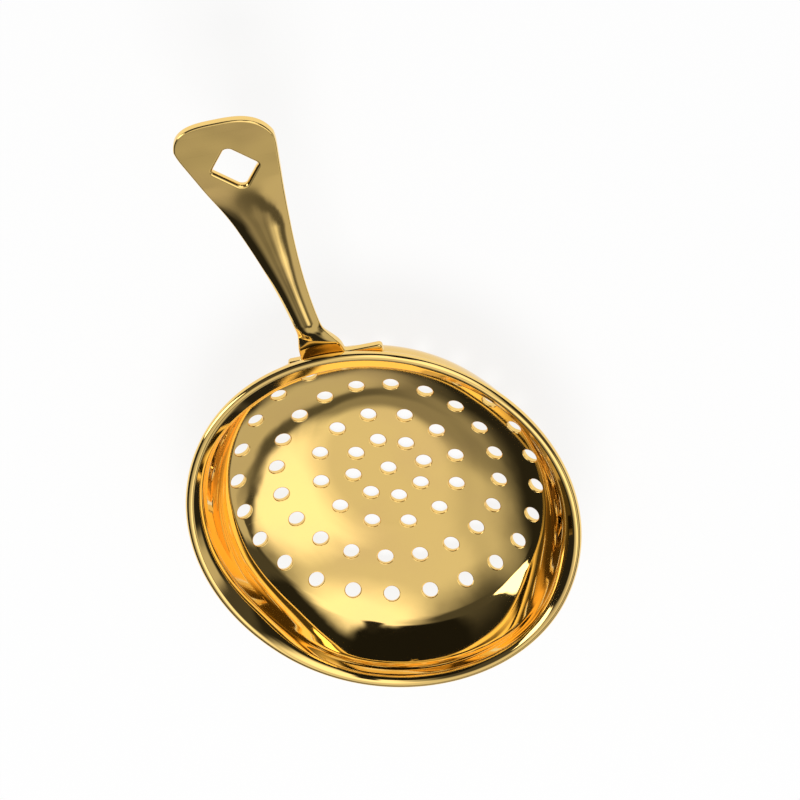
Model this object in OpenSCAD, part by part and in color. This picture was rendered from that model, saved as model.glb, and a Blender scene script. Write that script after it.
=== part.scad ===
// Julep strainer: a pressed, perforated oval bowl with a hemmed flange, and a stamped handle
// whose T-shaped foot is plug welded under the hem. Units are millimetres.
// The frame: +X runs along the handle, +Z up out of the bowl, and the origin is the centre of the
// flat under the bowl.

/* [Bowl] */
// Length of the bowl along the handle, over the hem
bowl_len = 82.4; // [78:0.2:96]
// How much narrower the bowl is across the handle
bowl_narrowing = 7.6; // [4:0.2:9]
// Thickness of the bowl's sheet
sheet_t = 1; // [0.8:0.1:1.1]
// Depth from the flange to the floor, from one sheet surface to the same surface
bowl_depth = 16.5; // [13.5:0.5:20]
// Width of the flange's flat, from the outer edge to where it starts to turn down
flange_w = 1.9; // [1.8:0.1:2.6]
// Width of the hem folded under the flange
hem_w = 2.8; // [2.6:0.1:3]
// Radius of the turn from flange to wall, to the middle of the sheet
turn_r = 2.5; // [2.2:0.1:3]
// Slope of the wall below the flange
wall_slope = 80; // [78:1:84]
// Radius of the turn from wall to dish, to the middle of the sheet
shoulder_r = 6; // [4:0.5:7]
// Slope of the dish where the wall meets it
dish_slope = 30; // [26:1:32]
// Radius of the dish around its flat floor, to the middle of the sheet
dish_r = 38; // [34:0.5:40]

/* [Drain holes] */
// Diameter of every drain hole
hole_d = 3; // [2:0.1:3.4]
// Radius of the first ring of holes
ring_1_r = 7; // [6:0.1:8.5]
// Radius of the second ring of holes
ring_2_r = 13.4; // [12:0.1:15]
// Radius of the third ring of holes
ring_3_r = 21.3; // [20:0.1:23]
// Radius of the fourth ring of holes
ring_4_r = 28.6; // [27:0.1:28.8]

/* [Handle] */
// Distance from the bowl's centre to the tip of the handle
handle_reach = 109; // [100:1:130]
// Thickness of the handle
handle_t = 1.5; // [1.2:0.1:2]
// Width of the stem at its narrowest, just past the neck
neck_w = 5.6; // [5:0.2:8]
// Width of the rounded head
head_w = 20.4; // [18:0.2:24]
// Rise of the neck's step, from the foot to the stem
step_rise = 3.75; // [3:0.05:5]
// Slope of the stem
stem_slope = 7.5; // [3:0.5:12]
// Slope of the head
head_slope = 12; // [8:0.5:16]
// How far the stem's edges are pressed down below its crown
arch_drop = 1.3; // [0.5:0.1:1.6]

/* [Hanging hole] */
// Length of the diamond-shaped hole along the handle, between its sharp corners
hang_len = 12.4; // [9:0.2:13]
// Width of the hole across the handle, between its sharp corners
hang_w = 9.2; // [7:0.2:10]
// Radius that rounds its corners
hang_corner_r = 1; // [0.5:0.1:1.5]
// Distance from the tip to the hole's centre
hang_inset = 13.2; // [12:0.2:15]

/* [Foot] */
// Length of the T-shaped foot's tab, across the handle
tab_len = 18.6; // [16:0.2:20]
// How far the tab is off the handle's centre line
tab_shift = -2.2; // [-3:0.1:3]
// Width of the tab, along the handle
tab_w = 2.4; // [2.2:0.1:2.5]
// How far the tab's straight edge lies inside the bowl's outermost point
tab_inset = 0.8; // [0.6:0.1:0.9]
// Diameter of the welded plugs
plug_d = 1.5; // [1.2:0.1:1.7]
// Distance between the plugs
plug_gap = 6; // [4:0.5:6]

/* [Hidden] */
$fn = 96;
gold = "goldenrod";
weld_gold = "darkgoldenrod";

// The outline of the bowl is a four-centred oval: two end arcs and two flatter side arcs, which
// meet in a common tangent. Everything on the bowl is placed by its inset from this outline.
// The two centres and the oval's own centre make a triangle with sides of 3, 4 and 5 units.
unit = bowl_narrowing / 4;
half_len = bowl_len / 2;
half_wid = half_len - 2 * unit;
end_x = 3 * unit;
end_r = half_len - end_x;
side_y = -4 * unit;
side_r = end_r + 5 * unit;
join_angle = atan2(4, 3);

// The section through the wall, as [inset, height] points. slope is how steeply the sheet runs
// down towards the bowl's centre, and normal() points out of its upper side.
half_t = sheet_t / 2;
floor_z = half_t;
flange_z = floor_z + bowl_depth;
function normal(slope) = [sin(slope), cos(slope)];
turn_c = [flange_w, flange_z - turn_r];
dish_drop = dish_r * (1 - cos(dish_slope));
turn_drop = turn_r * (1 - cos(wall_slope));
shoulder_drop = shoulder_r * (cos(dish_slope) - cos(wall_slope));
wall_len = (bowl_depth - dish_drop - turn_drop - shoulder_drop) / sin(wall_slope);
wall_top = turn_c + turn_r * normal(wall_slope);
wall_foot = wall_top + wall_len * [cos(wall_slope), -sin(wall_slope)];
shoulder_c = wall_foot + shoulder_r * normal(wall_slope);
dish_start = shoulder_c - shoulder_r * normal(dish_slope);
dish_c = dish_start + dish_r * normal(dish_slope);
floor_inset = dish_c[0];
floor_disc_r = half_wid - floor_inset - 0.2;
inner_inset = end_r - 1;
reach = 12 * unit;

// One side of the sheet, lift above its middle, from the flange to the floor
function face(lift) = concat(
    [for (i = [0:8]) turn_c + (turn_r + lift) * normal(wall_slope * i / 8)],
    [for (i = [0:6]) shoulder_c
        - (shoulder_r - lift) * normal(wall_slope + (dish_slope - wall_slope) * i / 6)],
    [for (i = [1:8]) dish_c - (dish_r - lift) * normal(dish_slope * (1 - i / 8))],
    [[inner_inset, floor_z + lift]]
);
function reversed(list) = [for (i = [len(list) - 1:-1:0]) list[i]];
wall_section = concat(
    [[sheet_t, flange_z + half_t]], face(half_t), reversed(face(-half_t)),
    [[sheet_t, flange_z - half_t]]
);

// The section's points are taken to the nearest micrometre, so that the stretches of wall around
// the oval have the very same section where they meet
function to_micron(v) = round(v * 1000) / 1000;

// Where a point in plan lies on the oval: its inset from the outline and the angle of the outline's
// normal there, measured from the end arc's centre or the side arc's
function on_end(p) = atan2(abs(p[1]), abs(p[0]) - end_x) < join_angle;
function centre_of(p) = on_end(p) ? [sign(p[0]) * end_x, 0] : [0, sign(p[1]) * side_y];
function inset_of(p) = (on_end(p) ? end_r : side_r) - norm(p - centre_of(p));
function bearing_of(p) = atan2(p[1] - centre_of(p)[1], p[0] - centre_of(p)[0]);
function slope_at(inset) = inset >= floor_inset ? 0 : asin((floor_inset - inset) / dish_r);
function dish_z(inset) = dish_c[1] - dish_r * cos(slope_at(inset));

// The handle's foot, below the hem
hem_under_z = flange_z - half_t - sheet_t;
tab_front = half_len - tab_inset;

// The handle's crown line: level under the hem, a step up at the neck, the stem and the steeper head.
// corner() is a bend of one unit of slope, softened over a length on either side.
step_start = half_len + 0.6;
step_end = step_start + 7.6;
head_start = handle_reach - 22;
step_soft = 1.2;
neck_soft = 1.6;
head_soft = 5;
step_tan = step_rise / (step_end - step_start);
neck_tan = step_tan - tan(stem_slope);
head_tan = tan(head_slope) - tan(stem_slope);
function corner(x, soft) = x < -soft ? 0 : x > soft ? x : pow(x + soft, 2) / (4 * soft);
function corner_tan(x, soft) = x < -soft ? 0 : x > soft ? 1 : (x + soft) / (2 * soft);
function crown_z(x) = hem_under_z + step_tan * corner(x - step_start, step_soft)
    - neck_tan * corner(x - step_end, neck_soft) + head_tan * corner(x - head_start, head_soft);
function crown_tan(x) = step_tan * corner_tan(x - step_start, step_soft)
    - neck_tan * corner_tan(x - step_end, neck_soft) + head_tan * corner_tan(x - head_start, head_soft);

// The handle's outline: half its width at x. The stem widens to the head, whose end is rounded, and
// the neck flares where it meets the foot.
function ease(s) = s < 0 ? 0 : s > 1 ? 1 : s * s * (3 - 2 * s);
function widening(s) = s < 0 ? 0 : s > 1 ? 1 : s * s * (1.5 - s / 2);
function rounding(s) = s < 0 ? 1 : pow(1 - pow(s, 3), 1 / 3);
neck_flare = 1.5;
round_len = 11;
round_start = handle_reach - round_len;
widest_x = handle_reach - 6;
function half_w(x) = rounding((x - round_start) / round_len) * (neck_w / 2
    + (head_w - neck_w) / 2 * widening((x - step_end) / (widest_x - step_end))
    + neck_flare * (1 - ease((x - tab_front) / 9)));

// The stem's edges are pressed down. The arch starts after the step and fades out in the head.
function arch(x) = arch_drop * ease((x - step_start) / 8) * (1 - ease((x - head_start + 9) / 14));

// A point of the handle's top or underside: x along, s from -1 to 1 across, depth under the top
function skin(x, s, depth) =
    let (w = half_w(x), dzdx = crown_tan(x), dzdy = -2 * arch(x) * s / w,
         up = [-dzdx, -dzdy, 1] / norm([-dzdx, -dzdy, 1]))
    [x, s * w, crown_z(x) - arch(x) * s * s] - depth * up;

across = 12;
stem_len = head_start - step_end;
stations = concat(
    [tab_front - 1],
    [for (i = [0:14]) step_start - step_soft + i * (step_end - step_start + 4) / 14],
    [for (i = [1:12]) step_end + 3 + i * (stem_len - 13) / 12],
    [for (i = [1:16]) head_start - 10 + i * (round_start - head_start + 10) / 16],
    [for (i = [1:12]) round_start + (round_len - 0.02) * sin(i * 90 / 12)]
);

// A closed skin over rings of points, each ring one cross-section
module loft(rings) {
    n = len(rings[0]);
    last = len(rings) - 1;
    sides = [for (i = [0:last - 1]) for (j = [0:n - 1]) each [
        [i * n + j, (i + 1) * n + j, i * n + (j + 1) % n],
        [i * n + (j + 1) % n, (i + 1) * n + j, (i + 1) * n + (j + 1) % n]
    ]];
    start_cap = [for (j = [0:n / 2 - 2]) each [
        [j, j + 1, n - 1 - j],
        [j + 1, n - 2 - j, n - 1 - j]
    ]];
    end_cap = [for (j = [0:n / 2 - 2]) each [
        [last * n + j, last * n + n - 1 - j, last * n + j + 1],
        [last * n + j + 1, last * n + n - 1 - j, last * n + n - 2 - j]
    ]];
    polyhedron(points = [for (ring = rings) each ring], faces = concat(sides, start_cap, end_cap));
}

// One stretch of the bowl's side, on the +X end or the +Y side: the wall section turned all the way
// round one of the oval's centres, of which a wedge with its point on that centre is kept. The
// wedge's sides run 3 to 4, as the joins do, and away holds its two far corners.
module wall_arc(centre, radius, away) {
    intersection() {
        translate([centre[0], centre[1], 0])
            rotate_extrude()
                union() {
                    polygon([for (p = wall_section) [to_micron(radius - p[0]), to_micron(p[1])]]);
                    translate([radius - sheet_t, flange_z - half_t])
                        circle(r = sheet_t);
                    translate([radius - hem_w, hem_under_z])
                        square([hem_w - sheet_t, 2 * sheet_t]);
                }
        translate([0, 0, -1])
            linear_extrude(height = flange_z + 3)
                polygon([centre, centre + away[0], centre + away[1]]);
    }
}

// One drain hole, square to the sheet
module drain_hole(ring_r, angle) {
    p = ring_r * [cos(angle), sin(angle)];
    inset = inset_of(p);
    translate([p[0], p[1], dish_z(inset)])
        rotate([0, -slope_at(inset), bearing_of(p)])
            cylinder(h = 4 * sheet_t, d = hole_d, center = true);
}

module bowl() {
    color(gold)
        difference() {
            union() {
                for (side = [0, 180]) {
                    rotate([0, 0, side])
                        wall_arc([end_x, 0], end_r, [[3, -4] * reach, [3, 4] * reach]);
                    rotate([0, 0, side])
                        wall_arc([0, side_y], side_r, [[3, 4] * reach, [-3, 4] * reach]);
                }
                cylinder(h = sheet_t, r = floor_disc_r);
            }
            cylinder(h = 4 * sheet_t, d = hole_d, center = true);
            for (i = [0:7])
                drain_hole(ring_1_r, i * 360 / 8);
            for (i = [0:11])
                drain_hole(ring_2_r, i * 360 / 12);
            for (i = [0:19])
                drain_hole(ring_3_r, i * 360 / 20);
            for (i = [0:23])
                drain_hole(ring_4_r, i * 360 / 24);
        }
}

// The places of the plugs, in a row along the middle of the tab
module at_plugs() {
    for (i = [-1:1])
        translate([tab_front - tab_w / 2, tab_shift + i * plug_gap, hem_under_z - handle_t])
            children();
}

// A diamond with rounded corners, centred: length along x and width along y to its sharp corners
module diamond(length, width, r) {
    a = length / 2;
    b = width / 2;
    k = 1 - r * norm([a, b]) / (a * b);
    away = r * [b, a] / norm([a, b]);
    polygon([
        [k * a + away[0], away[1]], [away[0], k * b + away[1]],
        [-away[0], k * b + away[1]], [-k * a - away[0], away[1]],
        [-k * a - away[0], -away[1]], [-away[0], -k * b - away[1]],
        [away[0], -k * b - away[1]], [k * a + away[0], -away[1]]
    ]);
    for (side = [-1, 1]) {
        translate([side * k * a, 0])
            circle(r = r);
        translate([0, side * k * b])
            circle(r = r);
    }
}

// The hanging hole, cut square to the head
module hanging_hole() {
    x = handle_reach - hang_inset;
    translate([x, 0, crown_z(x)])
        rotate([0, -head_slope, 0])
            linear_extrude(height = 6 * handle_t, center = true)
                union() {
                    diamond(hang_len, hang_w, hang_corner_r);
                }
}

module handle() {
    color(gold)
        difference() {
            union() {
                loft([for (x = stations) concat(
                    [for (i = [0:across]) skin(x, 1 - 2 * i / across, 0)],
                    [for (i = [0:across]) skin(x, 2 * i / across - 1, handle_t)]
                )]);
                translate([tab_front - tab_w, tab_shift - tab_len / 2, hem_under_z - handle_t])
                    cube([tab_w, tab_len, handle_t]);
            }
            hanging_hole();
            at_plugs()
                translate([0, 0, -handle_t])
                    cylinder(h = 3 * handle_t, d = plug_d);
        }
}

module weld_plugs() {
    color(weld_gold)
        at_plugs() {
            cylinder(h = handle_t, d = plug_d);
            translate([0, 0, -0.2])
                cylinder(h = 0.2, d1 = plug_d - 0.8, d2 = plug_d);
        }
}

bowl();
handle();
weld_plugs();
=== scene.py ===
# %% [markdown]
# This file dresses a julep strainer for a render. The strainer is a pressed and perforated oval
# bowl with a rolled lip, and a stamped handle whose T-shaped foot is welded under that lip.
# Both are thin sheet with a mirror polish and gold plating. A mirror shows every flat spot in a
# mesh, so the two sheets are built here point by point from the curves that the press tools
# would have, and each point is given the true normal of its curve. Everything is worked out in
# millimetres and is turned into metres only when a mesh is made.

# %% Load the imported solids
import math

import bpy
import numpy as np
from mathutils import Matrix, Vector
from mathutils.geometry import delaunay_2d_cdt


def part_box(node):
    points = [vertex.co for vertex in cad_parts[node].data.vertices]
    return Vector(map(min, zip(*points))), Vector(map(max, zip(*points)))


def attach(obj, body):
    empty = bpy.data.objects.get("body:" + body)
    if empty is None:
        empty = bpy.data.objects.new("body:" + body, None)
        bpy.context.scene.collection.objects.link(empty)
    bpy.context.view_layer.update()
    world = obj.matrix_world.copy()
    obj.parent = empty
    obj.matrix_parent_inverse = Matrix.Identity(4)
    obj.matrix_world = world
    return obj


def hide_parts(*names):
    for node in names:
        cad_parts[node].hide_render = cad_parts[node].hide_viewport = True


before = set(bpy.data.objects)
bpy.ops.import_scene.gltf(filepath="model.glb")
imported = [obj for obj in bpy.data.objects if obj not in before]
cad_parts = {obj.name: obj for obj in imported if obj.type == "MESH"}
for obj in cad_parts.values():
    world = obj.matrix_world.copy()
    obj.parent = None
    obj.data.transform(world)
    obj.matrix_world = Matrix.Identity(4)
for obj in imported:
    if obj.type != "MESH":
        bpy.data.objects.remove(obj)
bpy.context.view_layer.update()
MM = 0.001
print("solids:", sorted(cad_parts))

# %% [markdown]
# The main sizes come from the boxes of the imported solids, so the dressed strainer can't drift
# away from them. The bowl's outline is a four-centred oval: two end arcs and two flatter side
# arcs. Its centres make triangles with sides of 3, 4 and 5 units, and the unit follows from how
# much narrower the bowl is than it is long.

# %% The bowl's main sizes
bowl_low, bowl_high = (np.array(corner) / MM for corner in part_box("bowl"))
half_len = (bowl_high[0] - bowl_low[0]) / 2
half_wid = (bowl_high[1] - bowl_low[1]) / 2
unit = (half_len - half_wid) / 2
end_x, side_y = 3 * unit, -4 * unit
end_r = half_len - end_x
side_r = end_r + 5 * unit
join_angle = math.atan2(4, 3)

sheet_t = 1.0
half_t = sheet_t / 2
floor_z = half_t
flange_z = bowl_high[2] - half_t
print(f"bowl {2 * half_len:.1f} x {2 * half_wid:.1f} mm, flange at {flange_z:.1f} mm")

# %% [markdown]
# A cut through the side of the bowl shows a narrow flange, the turn into the steep wall, a soft
# shoulder and the shallow dish. Each bend is a circular arc through the middle of the sheet.
# Places on it are given as an inset from the outline and a height. A curve drawn by hand could
# serve as well, but arcs give the exact slope at every point, and so the exact normal. This
# plain section is the solid's, and it fixes where the shoulder and the dish lie. The wall above
# them is refined later.

# %% The section through the bowl's side
flange_w, turn_r, wall_slope = 1.9, 2.5, math.radians(80)
shoulder_r, dish_slope, dish_r = 6.0, math.radians(30), 38.0


def lean(slope):
    """The direction square to a sheet of this slope, as (inset, height)."""
    return np.array([math.sin(slope), math.cos(slope)])


turn_c = np.array([flange_w, flange_z - turn_r])
drop = (flange_z - floor_z - dish_r * (1 - math.cos(dish_slope))
        - turn_r * (1 - math.cos(wall_slope))
        - shoulder_r * (math.cos(dish_slope) - math.cos(wall_slope)))
wall_len = drop / math.sin(wall_slope)
wall_top = turn_c + turn_r * lean(wall_slope)
wall_foot = wall_top + wall_len * np.array([math.cos(wall_slope), -math.sin(wall_slope)])
shoulder_c = wall_foot + shoulder_r * lean(wall_slope)
dish_start = shoulder_c - shoulder_r * lean(dish_slope)
dish_c = dish_start + dish_r * lean(dish_slope)
print(f"wall {wall_len:.1f} mm, dish from inset {dish_start[0]:.1f} to {dish_c[0]:.1f} mm")

# %% [markdown]
# A toolmaker lays such an oval out from four arcs, because arcs keep the rim even all round. A
# scaled circle would be simpler, but its rim would vary in width. Two helpers place things on
# the oval. One tells how far inside the outline a point lies, and which way is outwards there.
# The other gives the stations around the outline, each with the centre and radius of its arc.

# %% Places on the oval


def place_on_oval(x, y):
    """Inset from the outline and the outward direction, for arrays of x and y."""
    at_end = np.arctan2(abs(y), abs(x) - end_x) < join_angle
    cx = np.where(at_end, np.sign(x) * end_x, 0)
    cy = np.where(at_end, 0, np.sign(y) * side_y)
    radius = np.where(at_end, end_r, side_r)
    dx, dy = x - cx, y - cy
    far = np.maximum(np.hypot(dx, dy), 1e-6)
    return radius - far, dx / far, dy / far


def oval_stations(on_end, on_side):
    """Around the oval: rows of centre x, centre y, radius, and the cosine and sine outwards."""
    rows = []
    for turn in (0, math.pi):
        flip = math.cos(turn)
        for i in range(on_end):
            a = -join_angle + 2 * join_angle * i / on_end + turn
            rows.append((flip * end_x, 0, end_r, math.cos(a), math.sin(a)))
        for i in range(on_side):
            a = join_angle + (math.pi - 2 * join_angle) * i / on_side + turn
            rows.append((0, flip * side_y, side_r, math.cos(a), math.sin(a)))
    return np.array(rows)


end_stations, side_stations = 136, 120
stations = oval_stations(end_stations, side_stations)
print(len(stations), "stations around the bowl")

# %% [markdown]
# A skin collects the points, normals and faces of one mesh. Blender could smooth the normals by
# itself, as averages of the faces round each point, but a mirror shows the error. Here the true
# normals are known, so they are handed over with the points. Faces are laid between rings of
# points without minding which way they turn, and each is turned at the end to agree with the
# normals of its own corners.

# %% A skin of points, normals and faces


class Skin:
    """One mesh in the making: points, their normals, and faces that name points by number."""

    def __init__(self):
        self.points, self.normals, self.faces = [], [], []

    def add(self, points, normals):
        start = len(self.points)
        self.points.extend(points)
        self.normals.extend(normals)
        return np.arange(start, len(self.points))

    def band(self, ring_a, ring_b):
        """Faces between two closed rings of the same length."""
        next_a, next_b = np.roll(ring_a, -1), np.roll(ring_b, -1)
        self.faces.extend(zip(ring_a, next_a, next_b, ring_b))

    def make(self, name):
        points, normals = np.array(self.points), np.array(self.normals)
        faces = []
        for face in self.faces:
            corners = points[list(face)]
            out = np.cross(corners[1] - corners[0], corners[2] - corners[0])
            faces.append(tuple(int(i) for i in (face if out @ normals[list(face)].sum(axis=0) > 0
                                                else face[::-1])))
        mesh = bpy.data.meshes.new(name)
        mesh.from_pydata((points * MM).tolist(), [], faces)
        mesh.shade_smooth()
        mesh.normals_split_custom_set_from_vertices(normals.tolist())
        obj = bpy.data.objects.new(name, mesh)
        bpy.context.scene.collection.objects.link(obj)
        print(f"{name}: {len(points)} points, {len(faces)} faces")
        return obj


# %% [markdown]
# Sheet metal is the same all over: a middle surface with a top and an underside half a thickness
# away, and edges that the polishing wheel has rounded. Solidify and Bevel modifiers could make
# it from a flat face, and Booleans could cut the holes, but they leave thin faces that crease a
# mirror. So one function makes any piece of sheet. It fills the outline with triangles around
# the holes, lifts them to both sides, and rolls the edges over. It gives back the outline's
# points, for the next piece to join on.

# %% A rolled edge


def round_edge(skin, top, under, middle, normal, outward, half, lip):
    """Rolls an edge over from the top ring to the underside ring."""
    last, steps = top, 5
    for side in (1, -1):
        for i in range(steps + 1):
            a = math.pi / 2 * (i / steps + (side < 0))
            if (side, i) in ((1, 0), (-1, steps)):
                continue  # these two rings are the sheet's own
            way = math.cos(a) * normal + math.sin(a) * outward
            ring = skin.add(middle + side * (half - lip) * normal + lip * way, way)
            skin.band(last, ring)
            last = ring
    skin.band(last, under)


# %% Which points lie inside a loop


def inside(points, loop):
    """Which points lie inside a loop, by counting the edges to their right."""
    x, y = points[:, 0][:, None], points[:, 1][:, None]
    x0, y0 = loop[:, 0][None], loop[:, 1][None]
    x1, y1 = np.roll(loop[:, 0], -1)[None], np.roll(loop[:, 1], -1)[None]
    crosses = (y0 > y) != (y1 > y)
    at = x0 + (y - y0) * (x1 - x0) / np.where(y1 == y0, 1e-12, y1 - y0)
    return (crosses & (x < at)).sum(axis=1) % 2 == 1


# %% A piece of sheet with holes in it


def sheet_metal(skin, outline, holes, fill, surface, half, edge_lip, hole_lip):
    """outline runs anticlockwise and holes clockwise. edge_lip 0 leaves the outline open."""
    loops = [outline] + holes
    plan = np.vstack(loops + [fill])
    edges, start = [], 0
    for loop in loops:
        edges += [(start + i, start + (i + 1) % len(loop)) for i in range(len(loop))]
        start += len(loop)
    flat, _, triangles, came_from, _, _ = delaunay_2d_cdt(
        [Vector(p) for p in plan], edges, [], 0, 1e-7)
    source = np.array([c[0] for c in came_from])
    triangles = source[np.array(triangles)]
    centres = plan[triangles].mean(axis=1)
    keep = inside(centres, outline)
    for hole in holes:
        near = np.hypot(*(centres - hole.mean(axis=0)).T) < np.hypot(*np.ptp(hole, axis=0))
        keep[near] &= ~inside(centres[near], hole)
    middle, normal = surface(plan[:, 0], plan[:, 1])
    top = skin.add(middle + half * normal, normal)
    under = skin.add(middle - half * normal, -normal)
    for a, b, c in triangles[keep]:
        skin.faces.append((top[a], top[b], top[c]))
        skin.faces.append((under[a], under[b], under[c]))
    start = 0
    for loop, lip in zip(loops, [edge_lip] + [hole_lip] * len(holes)):
        own = np.arange(start, start + len(loop))
        start += len(loop)
        if lip:
            onwards = np.roll(middle[own], -1, axis=0) - np.roll(middle[own], 1, axis=0)
            outward = np.cross(onwards, normal[own])
            outward /= np.linalg.norm(outward, axis=1)[:, None]
            round_edge(skin, top[own], under[own], middle[own], normal[own], outward, half, lip)
    return top[:len(outline)], under[:len(outline)]


# %% [markdown]
# The bowl's floor and dish carry sixty-five drain holes in four rings around one in the middle.
# Each is punched square to the sheet, so on the sloping dish its outline in plan is a slightly
# squashed circle. The punch and the polishing leave a small soft lip, which catches the light.
# A texture could fake the holes from afar, but here the floor shows through them.

# %% The dish and its drain holes
hole_r, hole_lip, hole_points = 1.5, 0.22, 36
hole_rings = ((0, 1), (7.0, 8), (13.4, 12), (21.3, 20), (28.6, 24))


def dish_surface(x, y):
    """Middle and normal of the sheet inside the wall's foot."""
    inset, out_x, out_y = place_on_oval(x, y)
    on_shoulder = inset < dish_start[0]
    sine = np.where(on_shoulder, (shoulder_c[0] - inset) / shoulder_r,
                    np.clip((dish_c[0] - inset) / dish_r, 0, 1))
    sine = np.clip(sine, 0, math.sin(wall_slope))
    cosine = np.sqrt(1 - sine ** 2)
    height = np.where(on_shoulder, shoulder_c[1] - shoulder_r * cosine,
                      dish_c[1] - dish_r * cosine)
    return (np.stack([x, y, height], axis=1),
            np.stack([-out_x * sine, -out_y * sine, cosine], axis=1))


def punched_hole(x, y, radius, count):
    """A clockwise loop of points that lie on a circle in the sheet's own slope."""
    _, normal = dish_surface(np.array([x]), np.array([y]))
    side = np.cross(normal[0], [0, 1, 0])
    side /= np.linalg.norm(side)
    across = np.cross(normal[0], side)
    a = -2 * math.pi * np.arange(count)[:, None] / count
    return (np.array([x, y, 0]) + radius * (np.cos(a) * side + np.sin(a) * across))[:, :2]


hole_places = [(r * math.cos(2 * math.pi * i / n), r * math.sin(2 * math.pi * i / n))
               for r, n in hole_rings for i in range(n)]
holes = [punched_hole(x, y, hole_r + hole_lip, hole_points) for x, y in hole_places]
print(len(holes), "drain holes")

# %% [markdown]
# The sheet between the holes needs points close enough together to carry its curve. Most lie in
# a honeycomb pattern. Near the edge they lie on rings that follow the outline, and round each
# hole on a collar, so that the triangles there are even and the mirror has no kinks. The dish's
# part of the mesh ends partway up the shoulder, where the swept wall takes over.

# %% Fill the dish between the holes
slope_at_edge = math.radians(48)
dish_edge = shoulder_c[0] - shoulder_r * math.sin(slope_at_edge)
dish_step, edge_rings = 0.9, 9
fill_clear, ring_clear, collar_clear = 0.6, 0.2, 0.1
hole_clear, collar_gap, collar_points = 0.55, 0.3, 24


def ring_line(inset):
    """A loop of points around the bowl, all at one inset."""
    return stations[:, :2] + (stations[:, 2:3] - inset) * stations[:, 3:5]


def hex_fill(low, high, step):
    """A honeycomb of points over a rectangle."""
    rows = []
    for j, y in enumerate(np.arange(low[1], high[1], step * 0.866)):
        x = np.arange(low[0] + (j % 2) * step / 2, high[0], step)
        rows.append(np.stack([x, np.full(len(x), y)], axis=1))
    return np.vstack(rows)


fill = hex_fill((-half_len, -half_wid), (half_len, half_wid), dish_step)
fill = fill[place_on_oval(fill[:, 0], fill[:, 1])[0] > dish_start[0] + fill_clear]
rings = [ring_line(inset)
         for inset in np.linspace(dish_edge, dish_start[0] + ring_clear, edge_rings)[1:]]
fill = np.vstack([fill] + rings)
for x, y in hole_places:
    fill = fill[np.hypot(fill[:, 0] - x, fill[:, 1] - y) > hole_r + hole_lip + hole_clear]
collars = []
for x, y in hole_places:
    collar = punched_hole(x, y, hole_r + hole_lip + collar_gap, collar_points)
    well_in = place_on_oval(collar[:, 0], collar[:, 1])[0] > dish_edge + collar_clear
    collars.append(collar[well_in])
fill = np.vstack([fill] + collars)
print(len(fill), "points between the holes")

bowl_skin = Skin()
dish_top, dish_under = sheet_metal(bowl_skin, ring_line(dish_edge), holes, fill, dish_surface,
                                   half_t, 0, hole_lip)

# %% [markdown]
# The shoulder, the wall and the lip are swept around the oval. A cut is a list of (inset,
# height, normal), which starts on the shoulder's top, runs up the wall and out over the lip,
# round the fold of its edge, back under it and down the outside to the shoulder's underside.
# Beside the handle the edge is folded back into a hem. Elsewhere it is only rolled into a bead.
# Every cut is resampled to the same number of points, so that cuts can be blended. Moving the
# points of one finished sweep would be quicker, but it would spoil their normals.

# %% The middle line of the wall
fold = np.array([sheet_t, flange_z - half_t])
hem_under = fold[1] - sheet_t
hem_w, hem_end_r = 2.8, 0.15


def off_middle(points, side):
    """Points on the top (side 1) or the underside (-1) of a middle line of (point, slope)."""
    return [(*(point + side * half_t * lean(slope)), *(side * lean(slope)))
            for point, slope in points]


def middle_line(turn_radius, bends, lip_slope):
    """Points and slopes up from the dish's edge. bends are (radius, slope at the end, steps).
    A last bend of turn_radius brings the wall to the lip's slope, in line with the fold."""
    point, slope = shoulder_c - shoulder_r * lean(slope_at_edge), slope_at_edge
    line = []
    for radius, end, steps in bends:
        centre = point + radius * lean(slope)
        for each in np.linspace(slope, math.radians(end), steps + 1)[1:]:
            line.append((centre - radius * lean(each), each))
        point, slope = line[-1]
    start = fold + (half_t - turn_radius) * lean(lip_slope)
    inwards = np.array([math.cos(lip_slope), -math.sin(lip_slope)])
    gap = -((start - point) @ lean(slope) + turn_radius) / math.sin(slope - lip_slope)
    centre = start + gap * inwards
    top = centre + turn_radius * lean(slope)
    line += [(point + (top - point) * t, slope) for t in (0.33, 0.67)]
    line += [(centre + turn_radius * lean(each), each)
             for each in np.linspace(slope, lip_slope, 22)]
    print(f"lip {gap + sheet_t:.1f} mm wide at {math.degrees(lip_slope):.0f} degrees")
    return line


# %% Even points along a cut


def resampled(cut, count):
    """The cut with this many points, at even distances."""
    cut = np.array(cut, float)
    run = np.concatenate([[0], np.cumsum(np.hypot(*np.diff(cut[:, :2], axis=0).T))])
    at = np.linspace(0, run[-1], count)
    return np.stack([np.interp(at, run, cut[:, k]) for k in range(4)], axis=1)


# %% The whole cut


def hem_inside(line):
    """The hem's flat underside, its rounded end and its inner side, and the wall above it."""
    below = [(point, slope) for point, slope in line if point[0] > hem_w - 0.2][::-1]
    stub = max((below[0][0] - half_t * lean(below[0][1]))[1], hem_under + 0.4)
    middle = np.array([hem_w - hem_end_r, hem_under + hem_end_r])
    end = [(*(middle + hem_end_r * lean(a)), *lean(a))
           for a in np.linspace(math.pi, math.pi / 2, 5)]
    return [(sheet_t + 0.3, hem_under, 0, -1), (hem_w - 0.4, hem_under, 0, -1), *end,
            (hem_w, hem_under + 0.3, 1, 0), (hem_w, stub, 1, 0)], below


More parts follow.
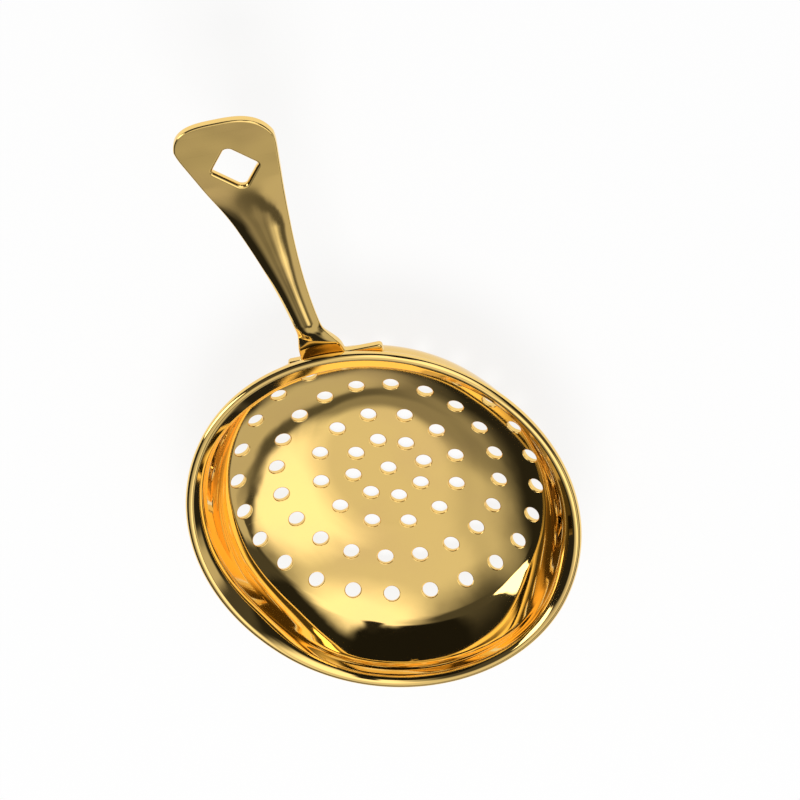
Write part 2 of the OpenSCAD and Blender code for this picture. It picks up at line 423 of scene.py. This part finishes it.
def side_cut(turn_radius, bends, lip_slope, hemmed=False):
    """The whole cut. Without a hem the bead closes on the outside of the wall."""
    line = middle_line(turn_radius, bends, lip_slope)
    inner, outer = line[-1][0], fold + half_t * lean(lip_slope)
    out = [(inner + (outer - inner) * t, lip_slope) for t in np.linspace(0.15, 1, 6)]
    bead = [(*(fold + sheet_t * lean(a)), *lean(a)) for a in np.linspace(lip_slope, -math.pi, 25)]
    wall = off_middle(line, 1)
    lip = wall[-1:] + off_middle(out, 1) + bead[1:]
    if hemmed:
        hem, below = hem_inside(line)
        lip += hem
    else:
        below = [(point, slope) for point, slope in line if point[1] < hem_under][::-1]
    return np.vstack([resampled(wall, 60), resampled(lip, 56)[1:],
                      resampled(off_middle(below, -1), 40)])


# %% [markdown]
# The press draws the metal in unevenly, so the cut changes around the bowl. Beside the handle
# the wall stands steep under a broad lip, which the foot needs. At the flanks the wall bends
# more gently and flares out just under the edge, and at the far end it leans out in one long
# curve. A smooth step of the bearing from the bowl's middle says how much of each cut a station
# gets. Polished metal shows the whole room in these few millimetres, so they matter more than
# their size suggests.

# %% Sweep the wall and the lip
handle_cut = side_cut(1.5, ((shoulder_r, 80, 14),), math.radians(28), hemmed=True)
flank_cut = side_cut(5.0, ((12, 75.25, 14),), math.radians(43))
far_cut = side_cut(1.5, ((29, 62, 14), (6, 84, 8)), math.radians(45))
handle_zone, far_zone = (20, 56), (115, 160)


def ease(s):
    """A smooth step from 0 at 0 to 1 at 1."""
    s = np.clip(s, 0, 1)
    return s * s * (3 - 2 * s)


bearing = abs(np.degrees(np.arctan2(*ring_line(3).T[::-1])))
by_handle = ease((handle_zone[1] - bearing) / (handle_zone[1] - handle_zone[0]))[:, None]
far_off = ease((bearing - far_zone[0]) / (far_zone[1] - far_zone[0]))[:, None]
last = dish_top
for near, flank, far in zip(handle_cut, flank_cut, far_cut):
    inset, height, n_in, n_up = (by_handle * near + far_off * far
                                 + (1 - by_handle - far_off) * flank).T
    ring = np.column_stack([ring_line(inset[:, None]), height])
    ring_normal = np.column_stack([-n_in[:, None] * stations[:, 3:5], n_up])
    ring_ids = bowl_skin.add(ring, ring_normal)
    bowl_skin.band(last, ring_ids)
    last = ring_ids
bowl_skin.band(last, dish_under)
bowl = bowl_skin.make("strainer_bowl")

# %% [markdown]
# The handle is stamped from thicker sheet. Its crown line runs level under the hem, steps up at
# the neck and rises along the stem to a slightly steeper head. The stem's two edges are pressed
# down, so its cut is a shallow arch, which fades out in the head. A few control points under a
# subdivision modifier could give this form, but functions of the place along the handle keep
# each size by its name, and any normal can be measured from them.

# %% The handle's curves
handle_t, reach = 1.5, 109.0
neck_w, head_w, neck_flare, flare_len = 5.6, 20.4, 1.5, 9
tab_front, tab_w, tab_len, tab_shift = half_len - 0.8, 2.4, 18.6, -2.2
step_start = half_len + 0.6
step_end = step_start + 7.6
head_start, round_len, widest_x = reach - 22, 11.0, reach - 6
round_start = reach - round_len
step_soft, stem_soft, head_soft = 1.2, 1.6, 5
arch_drop, arch_rise_len, arch_end, arch_fade_len = 1.3, 8, head_start - 9, 14
step_rise = 3.75
step_tan = step_rise / (step_end - step_start)
stem_tan, head_tan = math.tan(math.radians(7.5)), math.tan(math.radians(12))


def bend(x, soft):
    """A bend of one unit of slope at x = 0, softened over a length on either side."""
    return np.where(x < -soft, 0, np.where(x > soft, x, (x + soft) ** 2 / (4 * soft)))


def crown(x):
    """Height of the crown line."""
    return (hem_under + step_tan * bend(x - step_start, step_soft)
            - (step_tan - stem_tan) * bend(x - step_end, stem_soft)
            + (head_tan - stem_tan) * bend(x - head_start, head_soft))


def half_width(x):
    """Half the plan's width: it flares at the foot, swells to the head, and rounds off."""
    s = np.clip((x - step_end) / (widest_x - step_end), 0, 1)
    round_off = np.clip((x - round_start) / round_len, 0, 1)
    return ((1 - round_off ** 3) ** (1 / 3)
            * (neck_w / 2 + (head_w - neck_w) / 2 * s * s * (1.5 - s / 2)
               + neck_flare * (1 - ease((x - tab_front) / flare_len))))


def arch(x):
    """How far the two edges lie below the crown."""
    return (arch_drop * ease((x - step_start) / arch_rise_len)
            * (1 - ease((x - arch_end) / arch_fade_len)))


def handle_top(x, y):
    """Height of the top anywhere on the handle."""
    across = np.clip(y / np.maximum(half_width(x), 2.0), -1.2, 1.2)
    return crown(x) - arch(x) * across ** 2


def handle_surface(x, y):
    """Middle and normal of the handle's sheet."""
    d = 0.01  # a small step to measure the slopes over
    slope_x = (handle_top(x + d, y) - handle_top(x - d, y)) / (2 * d)
    slope_y = (handle_top(x, y + d) - handle_top(x, y - d)) / (2 * d)
    normal = np.stack([-slope_x, -slope_y, np.ones(len(x))], axis=1)
    normal /= np.linalg.norm(normal, axis=1)[:, None]
    top = np.stack([x, y, handle_top(x, y)], axis=1)
    return top - handle_t / 2 * normal, normal


crown_ends = crown(np.array([tab_front, reach]))
print(f"crown from {crown_ends[0]:.1f} to {crown_ends[1]:.1f} mm")

# %% [markdown]
# The outline goes round the foot's tab and the stem in one loop. Its corners are rounded with
# small arcs. The points are then set at even distances, because the fill between them comes out
# best that way, and the loop is drawn in by the radius of the polished edge, because the edge
# itself is rolled over outside it.

# %% Helpers for outlines


def corner_arc(before, corner, after, radius):
    """The rounded version of one corner."""
    before, corner, after = (np.array(p, float) for p in (before, corner, after))
    u = (before - corner) / np.linalg.norm(before - corner)
    v = (after - corner) / np.linalg.norm(after - corner)
    half_angle = math.acos(np.clip(u @ v, -1, 1)) / 2
    start = corner + u * radius / math.tan(half_angle)
    end = corner + v * radius / math.tan(half_angle)
    centre = corner + (u + v) / np.linalg.norm(u + v) * radius / math.sin(half_angle)
    a0 = math.atan2(*(start - centre)[::-1])
    turn = (math.atan2(*(end - centre)[::-1]) - a0 + math.pi) % (2 * math.pi) - math.pi
    return [centre + radius * np.array([math.cos(a0 + turn * t), math.sin(a0 + turn * t)])
            for t in np.linspace(0, 1, 9)]


def even_steps(loop, step):
    """The same closed loop with points at even distances."""
    closed = np.vstack([loop, loop[:1]])
    run = np.concatenate([[0], np.cumsum(np.hypot(*np.diff(closed, axis=0).T))])
    at = np.linspace(0, run[-1], int(run[-1] / step) + 1)[:-1]
    return np.stack([np.interp(at, run, closed[:, 0]), np.interp(at, run, closed[:, 1])], axis=1)


def drawn_in(loop, distance):
    """The loop moved square to itself, to its left."""
    onwards = np.roll(loop, -1, axis=0) - np.roll(loop, 1, axis=0)
    left = np.stack([-onwards[:, 1], onwards[:, 0]], axis=1)
    return loop + distance * left / np.linalg.norm(left, axis=1)[:, None]


# %% The handle's outline
tab_low, tab_high = tab_shift - tab_len / 2, tab_shift + tab_len / 2
tab_back = tab_front - tab_w
root = float(half_width(np.array([tab_front]))[0])
stem_step, tip_points = 0.5, 60
round_steps = np.sin(np.linspace(0, math.pi / 2, tip_points)) ** (2 / 3)
stem_x = np.concatenate([np.arange(tab_front + 1, round_start, stem_step),
                         round_start + round_len * round_steps])
stem_edge = np.stack([stem_x, half_width(stem_x)], axis=1)
right_edge = stem_edge * [1, -1]
tab_right = [(tab_back, 0), (tab_back, tab_low), (tab_front, tab_low), (tab_front, -root),
             right_edge[0]]
tab_left = [stem_edge[0], (tab_front, root), (tab_front, tab_high), (tab_back, tab_high),
            (tab_back, 0)]
corner_r, edge_lip, outline_step = 0.6, 0.4, 0.35
outline = np.array(
    [point for three in zip(tab_right, tab_right[1:], tab_right[2:])
     for point in corner_arc(*three, corner_r)]
    + list(right_edge) + list(stem_edge[::-1][1:])
    + [point for three in zip(tab_left, tab_left[1:], tab_left[2:])
       for point in corner_arc(*three, corner_r)])
outline = drawn_in(even_steps(outline, outline_step), edge_lip)
print(f"outline of {len(outline)} points, tip at {outline[:, 0].max() + edge_lip:.1f} mm")

# %% [markdown]
# The head has a diamond-shaped hole, by which the strainer hangs on a hook. It is cut square to
# the sloping head, so its plan is shortened a little along the handle. Its lip is rounder than
# the outline's, as a hook would rub on a sharp one.

# %% The hanging hole
hang_len, hang_w, hang_corner_r, hang_inset = 12.4, 9.2, 1.0, 13.2
hang_lip, hang_step = 0.7, 0.3
hang_x = reach - hang_inset
head_cos = 1 / math.hypot(1, head_tan)


def diamond(length, width, corner_r, grow):
    """A clockwise diamond with rounded corners, grown outwards all round."""
    a, b = length / 2, width / 2
    keep = 1 - corner_r * math.hypot(a, b) / (a * b)
    lean_to = math.atan2(a, b)
    points = []
    for quarter, centre in enumerate(((a, 0), (0, -b), (-a, 0), (0, b))):
        span = lean_to if quarter % 2 == 0 else math.pi / 2 - lean_to
        middle = -math.pi / 2 * quarter
        for t in np.linspace(1, -1, 10):
            angle = middle + t * span
            points.append((keep * centre[0] + (corner_r + grow) * math.cos(angle),
                           keep * centre[1] + (corner_r + grow) * math.sin(angle)))
    return np.array(points)


hang_loop = even_steps(diamond(hang_len, hang_w, hang_corner_r, hang_lip), hang_step)
hang_loop = hang_loop * [head_cos, 1] + [hang_x, 0]
print(f"hanging hole {hang_len} x {hang_w} mm at {hang_x:.1f} mm")

# %% [markdown]
# The handle is filled with the same honeycomb as the dish, kept a little clear of both edges,
# and the same function turns it into sheet with rolled edges.

# %% Fill the handle
fill_step, edge_clear, reach_aside = 0.6, 0.3, 12
fill = hex_fill((tab_back, -reach_aside), (reach, reach_aside), fill_step)
fill = fill[inside(fill, drawn_in(outline, edge_clear))]
fill = fill[~inside(fill, drawn_in(hang_loop, edge_clear))]
handle_skin = Skin()
sheet_metal(handle_skin, outline, [hang_loop], fill, handle_surface,
            handle_t / 2, edge_lip, hang_lip)
handle = handle_skin.make("strainer_handle")

# %% [markdown]
# Three plug welds hold the foot under the hem. Each is a small button of weld metal that was
# dressed nearly flush before plating. A squashed sphere would do from afar. These are turned
# from a short profile, as on a lathe, and the rim sinks a little into the foot, so that no gap
# shows.

# %% The weld plugs
plugs_low, plugs_high = (np.array(corner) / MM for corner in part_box("weld_plugs"))
plug_r = (plugs_high[0] - plugs_low[0]) / 2
plug_x = (plugs_high[0] + plugs_low[0]) / 2
plug_gap = (plugs_high[1] - plugs_low[1] - 2 * plug_r) / 2
plug_y = (plugs_high[1] + plugs_low[1]) / 2
foot_under = hem_under - handle_t
proud = foot_under - plugs_low[2]
around, tip_share, sink = 40, 0.04, 0.1
turned = 2 * math.pi * np.arange(around) / around
plug_skin = Skin()
for row in (-1, 0, 1):
    centre = np.array([plug_x, plug_y + row * plug_gap, foot_under])
    last = None
    for s in np.linspace(0, 1, 9):
        lean_out = math.radians(8 + 70 * s ** 2)
        r = plug_r * (tip_share + (1 - tip_share) * math.sin(s * math.pi / 2))
        z = -proud * (1 - s ** 3) + sink * (s >= 1)
        out = np.stack([np.cos(turned), np.sin(turned), 0 * turned], axis=1)
        ring = plug_skin.add(centre + r * out + [0, 0, z],
                             math.sin(lean_out) * out - [0, 0, math.cos(lean_out)])
        if last is None:
            tip = plug_skin.add([centre - [0, 0, proud]], [np.array([0, 0, -1.0])])
            plug_skin.faces += [(ring[i], ring[(i + 1) % around], tip[0])
                                for i in range(around)]
        else:
            plug_skin.band(last, ring)
        last = ring
plugs = plug_skin.make("strainer_weld_buttons")

# %% [markdown]
# Gold plate over polished steel is a mirror with a warm tint. Up close it isn't perfect: the
# sheet keeps a faint wave from the press, the polishing leaves hair lines, and handling leaves
# a thin haze. A scan of real scratches could be wrapped round it, but noise needs no file, has
# no seams and never repeats. Both finishes share these marks, so they are one node group. It
# puts out a height for the bump, a mask of fine lines, and a mask of haze. Nodes are laid out
# by three small helpers, which give each socket a value or a link in the same way.

# %% Helpers for nodes


def wire(tree, node, inputs):
    """Gives each named socket of a node a value, or a link from another node's output."""
    for socket, value in inputs.items():
        if isinstance(value, bpy.types.NodeSocket):
            tree.links.new(value, node.inputs[socket])
        else:
            node.inputs[socket].default_value = value


def add_node(tree, kind, place, inputs=None, **settings):
    """A node of this kind, with its settings made and its sockets wired."""
    node = tree.nodes.new(kind)
    node.location = place
    for name, value in settings.items():
        setattr(node, name, value)
    wire(tree, node, inputs or {})
    return node


def new_group(name, takes, gives):
    """A node group whose sockets are given by name and kind, and its incoming sockets."""
    group = bpy.data.node_groups.new(name, "ShaderNodeTree")
    for way, sockets in (("INPUT", takes), ("OUTPUT", gives)):
        for socket, kind in sockets.items():
            group.interface.new_socket(socket, in_out=way, socket_type="NodeSocket" + kind)
    return group, add_node(group, "NodeGroupInput", (-1400, 0)).outputs


# %% The marks left by pressing, polishing and handling


def polishing_marks():
    """Three layers of streaks that cross each other, patches of haze, and a slow wave."""
    group, takes = new_group("Polishing marks",
                             {"Hair line scale": "Float", "Wave scale": "Float"},
                             {"Height": "Float", "Hair lines": "Float", "Haze": "Float"})
    where = add_node(group, "ShaderNodeTexCoord", (-1200, 300)).outputs["Object"]
    lines = None
    for k, turn in enumerate((0.3, 1.5, 2.4)):
        row = 300 - 260 * k
        spin = add_node(group, "ShaderNodeMapping", (-950, row), {
            "Vector": where, "Rotation": (0.2 * k, 0.1, turn), "Scale": (1, 0.012, 0.3)})
        streak = add_node(group, "ShaderNodeTexNoise", (-700, row), {
            "Vector": spin.outputs["Vector"], "Scale": takes["Hair line scale"], "Detail": 3,
            "Roughness": 0.7})
        sharp = add_node(group, "ShaderNodeMapRange", (-450, row), {
            "Value": streak.outputs["Fac"], "From Min": 0.63, "From Max": 0.74},
            interpolation_type="SMOOTHSTEP").outputs["Result"]
        lines = sharp if lines is None else add_node(
            group, "ShaderNodeMath", (-360 + 160 * k, 200), {0: lines, 1: sharp},
            operation="MAXIMUM").outputs[0]
    haze = add_node(group, "ShaderNodeTexNoise", (-450, -520), {
        "Vector": where, "Scale": 55, "Detail": 5})
    clear = add_node(group, "ShaderNodeMapRange", (-200, -520), {
        "Value": haze.outputs["Fac"], "From Min": 0.42, "From Max": 0.72},
        interpolation_type="SMOOTHSTEP")
    wave = add_node(group, "ShaderNodeTexNoise", (-450, -800), {
        "Vector": where, "Scale": takes["Wave scale"], "Detail": 1})
    height = add_node(group, "ShaderNodeMath", (200, -300), {
        0: lines, 1: -0.004, 2: wave.outputs["Fac"]}, operation="MULTIPLY_ADD")
    add_node(group, "NodeGroupOutput", (700, 0), {
        "Height": height.outputs[0], "Hair lines": lines, "Haze": clear.outputs["Result"]})
    return group


marks = polishing_marks()
print(len(marks.nodes), "nodes in the marks")

# %% [markdown]
# The plating itself is a metal, so its colour lives in the reflections: what it shows once is
# pale gold, and what it shows after two bounces, as in the wall of the bowl, is deep orange.
# Nothing has to be painted for that. Only the haze and the hair lines change the roughness, and
# the haze takes a little of the colour's strength away.

# %% The two plated finishes


def plated(name, colour, dull_colour, roughness, wave_scale, wave_depth):
    """A plated metal. wave_depth is in metres."""
    material = bpy.data.materials.new(name)
    material.use_nodes = True
    tree = material.node_tree
    mark = add_node(tree, "ShaderNodeGroup", (-900, 0), {
        "Hair line scale": 1500, "Wave scale": wave_scale}, node_tree=marks).outputs
    tint = add_node(tree, "ShaderNodeMix", (-500, 250), {
        "Factor": mark["Haze"], "A": (*colour, 1), "B": (*dull_colour, 1)}, data_type="RGBA")
    haze_share = add_node(tree, "ShaderNodeMath", (-700, -220), {
        0: mark["Haze"], 1: 0.22}, operation="MULTIPLY")
    dull = add_node(tree, "ShaderNodeMath", (-700, -50), {
        0: mark["Hair lines"], 1: 0.35, 2: haze_share.outputs[0]}, operation="MULTIPLY_ADD")
    rough = add_node(tree, "ShaderNodeMapRange", (-500, -50), {
        "Value": dull.outputs[0], "To Min": roughness, "To Max": roughness + 0.14})
    bump = add_node(tree, "ShaderNodeBump", (-500, -350), {
        "Strength": 1, "Distance": wave_depth, "Height": mark["Height"]})
    wire(tree, tree.nodes["Principled BSDF"], {
        "Metallic": 1, "Base Color": tint.outputs["Result"],
        "Roughness": rough.outputs["Result"], "Normal": bump.outputs["Normal"]})
    return material


mirror_gold = plated("Mirror gold plating", (0.95, 0.66, 0.22), (0.91, 0.62, 0.22),
                     roughness=0.035, wave_scale=90, wave_depth=0.00006)
weld_gold = plated("Gold over dressed weld", (0.82, 0.56, 0.2), (0.6, 0.4, 0.14),
                   roughness=0.22, wave_scale=900, wave_depth=0.00008)
print("finishes:", mirror_gold.name, "and", weld_gold.name)

# %% [markdown]
# Each dressed piece now takes the place of one imported solid, which is hidden. It rides on the
# strainer's only body and takes its finish as its material. The hidden solid gets the same
# material, so that it looks right wherever it is shown alone.

# %% Dress the solids
for piece, node, slot, material in ((bowl, "bowl", "gold_plate", mirror_gold),
                                    (handle, "handle", "gold_plate", mirror_gold),
                                    (plugs, "weld_plugs", "weld_gold", weld_gold)):
    piece.data.materials.append(material)
    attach(piece, "root")
    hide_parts(node)
    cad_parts[node].data.materials[0] = material
    print(piece.name, "replaces", node)

# %% [markdown]
# The strainer stands on a plain pale floor in a pale tent, which both show as white behind it.
# Looks and mirrored looks find them at full white, while the light that they send to the
# strainer stays plain. The floor still takes a share of ordinary light, so it keeps a shadow.

# %% The floor
floor_size, floor_glow = 4, 0.85
white = (1, 1, 1, 1)


def background_rays(tree, left):
    """The share of rays that should find a white background: straight ones and mirrored ones."""
    rays = add_node(tree, "ShaderNodeLightPath", (left, 0)).outputs
    shows = rays["Is Camera Ray"]
    for k, name in enumerate(("Is Glossy Ray", "Is Transmission Ray")):
        shows = add_node(tree, "ShaderNodeMath", (left + 170 * (k + 1), 0), {
            0: shows, 1: rays[name]}, operation="MAXIMUM").outputs[0]
    return shows


def pale_floor():
    """A wide plane that is part white glow and part plain surface."""
    bpy.ops.mesh.primitive_plane_add(size=floor_size)
    floor = bpy.context.object
    floor.name = "studio_floor"
    material = bpy.data.materials.new("Pale floor")
    material.use_nodes = True
    tree = material.node_tree
    shader = tree.nodes["Principled BSDF"]
    wire(tree, shader, {"Base Color": (0.9, 0.9, 0.9, 1), "Roughness": 0.9})
    glow = add_node(tree, "ShaderNodeEmission", (0, -300), {"Color": white})
    share = add_node(tree, "ShaderNodeMath", (0, 200), {
        0: background_rays(tree, -700), 1: floor_glow}, operation="MULTIPLY")
    mix = add_node(tree, "ShaderNodeMixShader", (300, 0), {
        0: share.outputs[0], 1: shader.outputs[0], 2: glow.outputs[0]})
    wire(tree, tree.nodes["Material Output"], {"Surface": mix.outputs[0]})
    floor.data.materials.append(material)
    print("floor of", floor_size, "m")


pale_floor()

# %% The tent


def tent():
    """A world that looks white and lights grey."""
    world = bpy.data.worlds.new("Studio tent")
    bpy.context.scene.world = world
    world.use_nodes = True
    tree = world.node_tree
    colour = add_node(tree, "ShaderNodeMix", (-250, 0), {
        "Factor": background_rays(tree, -900), "A": (0.55, 0.55, 0.55, 1), "B": white},
        data_type="RGBA")
    wire(tree, tree.nodes["Background"], {"Color": colour.outputs["Result"]})
    print("world:", world.name)


tent()

# %% [markdown]
# What a mirror shows is its studio, so the studio is built with care. A dome stands round the
# strainer, and only reflections see it. Its panels are soft-edged patches, laid out by the
# directions in which the strainer sees them, so no real panel has to be built and hung. One
# node group makes one panel: it measures how far a direction lies from the panel's middle,
# sideways and upwards, as a share of the panel's half sizes, and fades the panel in over what
# lies behind it.

# %% One soft panel
aim = Vector((0, 0, flange_z * MM))


def pointing(azimuth, elevation):
    """The direction at these degrees round from +X and up from level."""
    a, e = math.radians(azimuth), math.radians(elevation)
    return Vector((math.cos(e) * math.cos(a), math.cos(e) * math.sin(a), math.sin(e)))


def soft_panel():
    """The node group of one panel. A Squareness of 2 is an ellipse, and more is squarer."""
    group, takes = new_group(
        "Soft panel",
        {"Direction": "Vector", "Middle": "Vector", "Sideways": "Vector", "Upwards": "Vector",
         "Half width": "Float", "Half height": "Float", "Softness": "Float",
         "Squareness": "Float", "Brightness": "Float", "Behind": "Float"},
        {"Light": "Float"})

    def maths(operation, place, *values):
        return add_node(group, "ShaderNodeMath", place, dict(enumerate(values)),
                        operation=operation).outputs[0]

    across, upwards, ahead = (
        add_node(group, "ShaderNodeVectorMath", (-1150, -200 * k), {
            0: takes["Direction"], 1: takes[name]}, operation="DOT_PRODUCT").outputs["Value"]
        for k, name in enumerate(("Sideways", "Upwards", "Middle")))
    powers = []
    for k, (part, half_size) in enumerate(((across, "Half width"), (upwards, "Half height"))):
        angle = maths("ARCTAN2", (-950, -200 * k), part, ahead)
        share = maths("DIVIDE", (-750, -200 * k), angle, takes[half_size])
        size = maths("ABSOLUTE", (-580, -200 * k), share)
        powers.append(maths("POWER", (-400, -200 * k), size, takes["Squareness"]))
    root = maths("DIVIDE", (-230, -200), 1, takes["Squareness"])
    distance = maths("POWER", (-60, 0), maths("ADD", (-230, 0), *powers), root)
    fade = add_node(group, "ShaderNodeMapRange", (150, 0), {
        "Value": distance, "From Min": maths("ADD", (-60, -200), 1, takes["Softness"]),
        "From Max": maths("SUBTRACT", (-60, -400), 1, takes["Softness"])},
        interpolation_type="SMOOTHSTEP")
    mix = add_node(group, "ShaderNodeMix", (380, 0), {
        "Factor": fade.outputs["Result"], "A": takes["Behind"], "B": takes["Brightness"]})
    add_node(group, "NodeGroupOutput", (600, 0), {"Light": mix.outputs["Result"]})
    return group


one_panel = soft_panel()
print(len(one_panel.nodes), "nodes in a panel")

# %% [markdown]
# The table says where each panel hangs, in degrees round and above the strainer, its half
# sizes in degrees, how soft and how square it is, and how bright. Each is laid over the ones
# before: a pale canopy overhead, a low glow behind, two bright screens, the dark corners of the
# room, and one small softbox. A noise moves the directions a little, so the panels' edges waver
# as cloth does.

# %% The dome around the strainer
dome_radius, room_light = 1.0, 0.02
waver_scale, waver_by = 3.5, 0.16
# name, azimuth, elevation, half width, half height, softness, squareness, brightness
panels = (
    ("canopy", 182, 88, 38, 66, 0.36, 2, 0.77),
    ("rear_glow", 203, 28, 44, 14, 0.25, 3, 0.56),
    ("side_grey", 115, 41, 30, 16, 0.4, 3, 0.62),
    ("bright_screen_rear", 202, 53, 19, 15, 0.35, 2, 1.38),
    ("bright_screen_front", 322, 54, 31, 30, 0.35, 2.5, 1.42),
    ("grey_notch", 158, 39, 20, 7, 0.45, 2, 0.28),
    ("dark_ledge", 183, 37, 24, 3.0, 0.6, 4, 0.1),
    ("dark_ledge_end", 220, 39, 14, 3.0, 0.6, 4, 0.07),
    ("dark_corner", 108, 15, 34, 25, 0.45, 3, 0.02),
    ("dark_side", 46, 42, 32, 24, 0.45, 3, 0.075),
    ("dark_door", 254, 18, 10, 30, 0.45, 4, 0.07),
    ("front_dark", 356, 12, 38, 25, 0.14, 4, 0.012),
    ("dark_lamp_stand", 331, 36, 6, 9, 0.3, 2, 0.02),
    ("softbox", 76, 24, 11, 16, 0.1, 5, 3.2),
)


def wavering_direction(tree):
    """The direction from the dome's middle, moved a little by noise."""
    where = add_node(tree, "ShaderNodeTexCoord", (-1200, 0)).outputs["Object"]
    waver = add_node(tree, "ShaderNodeTexNoise", (-1000, -200), {
        "Vector": where, "Scale": waver_scale, "Detail": 3})
    centred = add_node(tree, "ShaderNodeVectorMath", (-800, -200), {
        0: waver.outputs["Color"], 1: (0.5, 0.5, 0.5)}, operation="SUBTRACT")
    moved = add_node(tree, "ShaderNodeVectorMath", (-600, 0), {
        0: centred.outputs[0], 1: (waver_by, waver_by, waver_by), 2: where},
        operation="MULTIPLY_ADD")
    return moved.outputs[0]


def dome_material():
    """All the panels, one over the other, as the strength of one glow."""
    material = bpy.data.materials.new("Studio dome")
    material.use_nodes = True
    tree = material.node_tree
    tree.nodes.remove(tree.nodes["Principled BSDF"])
    direction = wavering_direction(tree)
    light = room_light
    for k, (name, azimuth, elevation, wide, high, soft, square, bright) in enumerate(panels):
        middle, sideways = pointing(azimuth, elevation), pointing(azimuth + 90, 0)
        light = add_node(tree, "ShaderNodeGroup", (-300 + 220 * k, 0), {
            "Direction": direction, "Middle": middle, "Sideways": sideways,
            "Upwards": middle.cross(sideways), "Half width": math.radians(wide),
            "Half height": math.radians(high), "Softness": soft, "Squareness": square,
            "Brightness": bright, "Behind": light},
            node_tree=one_panel, label=name).outputs["Light"]
    glow = add_node(tree, "ShaderNodeEmission", (-300 + 220 * len(panels), 0), {
        "Color": white, "Strength": light})
    out = tree.nodes["Material Output"]
    out.location = (-80 + 220 * len(panels), 0)
    wire(tree, out, {"Surface": glow.outputs[0]})
    return material


# %% Stand the dome
bpy.ops.mesh.primitive_uv_sphere_add(segments=64, ring_count=32, radius=dome_radius, location=aim)
dome = bpy.context.object
dome.name = "studio_dome"
dome.data.materials.append(dome_material())
for ray in ("visible_camera", "visible_shadow", "visible_diffuse", "visible_transmission"):
    setattr(dome, ray, False)
print(len(panels), "panels on the dome")

# %% [markdown]
# One broad lamp hangs high behind the strainer. It gives the floor its soft shadow and lights
# the duller welds. It is kept out of the reflections, which are the dome's work.

# %% The lamp


def soft_lamp(name, azimuth, elevation, distance, size, power):
    """A round area lamp that faces the strainer and doesn't show in it."""
    way = pointing(azimuth, elevation)
    data = bpy.data.lights.new(name, "AREA")
    data.energy, data.shape, data.size = power, "DISK", size
    lamp = bpy.data.objects.new(name, data)
    bpy.context.scene.collection.objects.link(lamp)
    lamp.matrix_world = (Matrix.Translation(aim + distance * way)
                         @ way.to_track_quat("Z", "Y").to_matrix().to_4x4())
    lamp.visible_glossy = False
    print(name, power, "W")


soft_lamp("overhead_lamp", azimuth=170, elevation=70, distance=1.2, size=1.0, power=9)

# %% [markdown]
# The camera looks down into the bowl from the handle's side, from well back with a long lens,
# so the oval is hardly tapered. It is held nearly upside down, which puts the handle at the top.
# It looks at a place a little up the handle, so that the whole strainer is framed.

# %% The camera
view_az, view_el, view_roll = math.radians(-20.69), math.radians(50.8), math.radians(185.24)
shown_width, stand_off = 0.152, 6.0
aim_right, aim_over = 0.003135, 0.02305


def long_camera():
    """The camera, from its bearing, its height over the table and its roll."""
    back = Vector((math.cos(view_el) * math.cos(view_az), math.cos(view_el) * math.sin(view_az),
                   math.sin(view_el)))
    level = Vector((-math.sin(view_az), math.cos(view_az), 0))
    over = back.cross(level)
    right = math.cos(view_roll) * level + math.sin(view_roll) * over
    over = back.cross(right)
    centre = aim + aim_right * right + aim_over * over
    data = bpy.data.cameras.new("long_lens")
    data.lens = data.sensor_width * stand_off / shown_width
    data.clip_end = 20
    camera = bpy.data.objects.new("long_lens", data)
    bpy.context.scene.collection.objects.link(camera)
    camera.matrix_world = Matrix.Translation(centre + stand_off * back) @ Matrix(
        (right, over, back)).transposed().to_4x4()
    bpy.context.scene.camera = camera
    print(f"lens of {data.lens:.0f} mm")


long_camera()
bpy.context.scene.view_settings.view_transform = "Standard"
